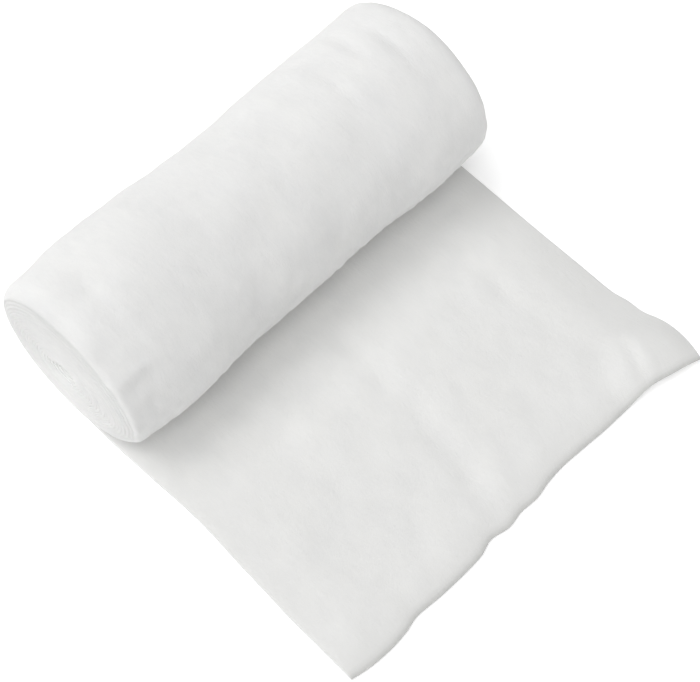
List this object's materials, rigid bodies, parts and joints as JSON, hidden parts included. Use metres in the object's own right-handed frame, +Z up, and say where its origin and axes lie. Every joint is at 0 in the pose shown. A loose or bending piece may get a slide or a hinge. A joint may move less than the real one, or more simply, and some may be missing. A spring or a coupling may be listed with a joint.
{
  "type": "cast padding roll",
  "caption": "Soft nonwoven padding strip wound into a roll, with its loose end drawn out flat in front; it is wrapped round a limb under a cast.",
  "frame": {"origin": "on the surface that the part lies on, at the middle of its footprint", "axes": "+X along the roll's axis; -Y the way the loose end runs out; +Z up, out of the surface"},
  "size_m": [0.1556, 0.1568, 0.0632],
  "materials": {
    "padding_web": "matt white nonwoven fibre, soft and slightly cloudy"
  },
  "bodies": {
    "root": {"wound_roll": "padding_web", "loose_end": "padding_web"}
  },
  "joints": []
}
